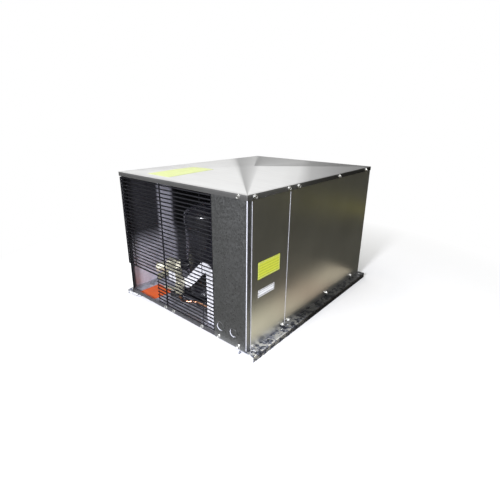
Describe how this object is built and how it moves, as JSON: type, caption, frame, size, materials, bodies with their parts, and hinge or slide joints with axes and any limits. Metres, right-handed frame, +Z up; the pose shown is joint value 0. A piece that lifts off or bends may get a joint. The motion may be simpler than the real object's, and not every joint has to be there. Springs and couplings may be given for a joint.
{
  "type": "refrigeration condensing unit",
  "caption": "Low condensing unit: sheet-metal hood with a wire grille over a compressor, receiver, fan and finned coil, on two slotted rails.",
  "frame": {"origin": "centre of the mounting-slot pattern, on the ground under the middle of the hood", "axes": "+X to the right as seen from the grille, +Y from the grille to the coil, +Z up"},
  "size_m": [0.638, 0.772, 0.487],
  "materials": {
    "galvanised_sheet": "satin",
    "galvanised_base": "satin",
    "zinc_fasteners": "satin",
    "black_wire": "satin",
    "black_enamel": "gloss",
    "grey_enamel": "satin",
    "white_enamel": "gloss",
    "brass_fittings": "satin",
    "copper_tube": "satin",
    "aluminium_fins": "satin",
    "aluminium_blades": "satin",
    "steel_shaft": "polished",
    "black_plastic": "matte",
    "cream_plastic": "matte",
    "rubber_mounts": "matte",
    "sight_lens": "gloss",
    "grey_conduit": "satin"
  },
  "bodies": {
    "unit_base": {"base_pan": "galvanised_base", "capacitor_band": "galvanised_sheet", "coil_fin_pack": "aluminium_fins", "coil_headers": "copper_tube", "compressor_bolts": "zinc_fasteners", "compressor_conduit": "grey_conduit", "compressor_foot_plate": "black_enamel", "compressor_grommets": "rubber_mounts", "compressor_shell": "black_enamel", "compressor_terminal_box": "black_plastic", "condensate_line": "copper_tube", "conduit_fittings": "grey_conduit", "contactor_body": "black_plastic", "control_box": "galvanised_sheet", "discharge_line": "copper_tube", "drier_clamp": "galvanised_sheet", "fan_conduit": "grey_conduit", "fan_motor": "grey_enamel", "fan_motor_bracket": "galvanised_base", "fan_shroud": "galvanised_sheet", "filter_drier": "white_enamel", "floor_screws": "zinc_fasteners", "front_panel": "galvanised_sheet", "grille_frame_bars": "black_wire", "grille_lower_wires": "black_wire", "grille_upper_wires": "black_wire", "hood_screws": "zinc_fasteners", "left_panel": "galvanised_sheet", "left_rail": "galvanised_base", "left_return_bends": "copper_tube", "left_tube_sheet": "galvanised_sheet", "liquid_line": "copper_tube", "liquid_valve_body": "brass_fittings", "motor_bracket_bolts": "zinc_fasteners", "rail_bolts": "zinc_fasteners", "receiver": "black_enamel", "receiver_outlet_line": "copper_tube", "receiver_saddles": "galvanised_base", "receiver_valve": "brass_fittings", "right_panel": "galvanised_sheet", "right_rail": "galvanised_base", "right_return_bends": "copper_tube", "right_tube_sheet": "galvanised_sheet", "run_capacitor": "aluminium_blades", "sight_glass_body": "brass_fittings", "sight_glass_lens": "sight_lens", "suction_valve_body": "brass_fittings", "terminal_block": "cream_plastic", "top_cover": "galvanised_sheet", "valve_bracket": "galvanised_sheet"},
    "service_panel": {"access_panel": "galvanised_sheet", "access_panel_screws": "zinc_fasteners"},
    "fan": {"fan_shaft": "steel_shaft", "fan_hub": "aluminium_blades", "fan_blades": "aluminium_blades"},
    "suction_cap": {"suction_valve_cap": "brass_fittings"},
    "suction_stem": {"suction_valve_stem": "steel_shaft"},
    "liquid_cap": {"liquid_valve_cap": "brass_fittings"},
    "liquid_stem": {"liquid_valve_stem": "steel_shaft"},
    "armature": {"contactor_armature": "black_plastic"}
  },
  "joints": [
    {"name": "panel_pull", "type": "slide", "parent": "unit_base", "child": "service_panel", "axis": [1, 0, 0], "range_m": [0, 0.14]},
    {"name": "fan_spin", "type": "hinge", "parent": "unit_base", "child": "fan", "pos_m": [0, 0.226, 0.246], "axis": [0, 1, 0], "continuous": true},
    {"name": "suction_cap_pull", "type": "slide", "parent": "unit_base", "child": "suction_cap", "axis": [-0.6626, -0.749, 0], "range_m": [0, 0.024]},
    {"name": "suction_stem_turn", "type": "hinge", "parent": "unit_base", "child": "suction_stem", "pos_m": [-0.15202, -0.31783, 0.1432], "axis": [0.6626, 0.749, 0], "range_deg": [0, 1800]},
    {"name": "liquid_cap_pull", "type": "slide", "parent": "unit_base", "child": "liquid_cap", "axis": [0, 0, 1], "range_m": [0, 0.028]},
    {"name": "liquid_stem_turn", "type": "hinge", "parent": "unit_base", "child": "liquid_stem", "pos_m": [-0.028, -0.3535, 0.156], "axis": [0, 0, -1], "range_deg": [0, 1800]},
    {"name": "armature_press", "type": "slide", "parent": "unit_base", "child": "armature", "axis": [-1, 0, 0], "range_m": [0, 0.004], "stiffness_N_per_m": 400, "springref_m": -0.002}
  ]
}
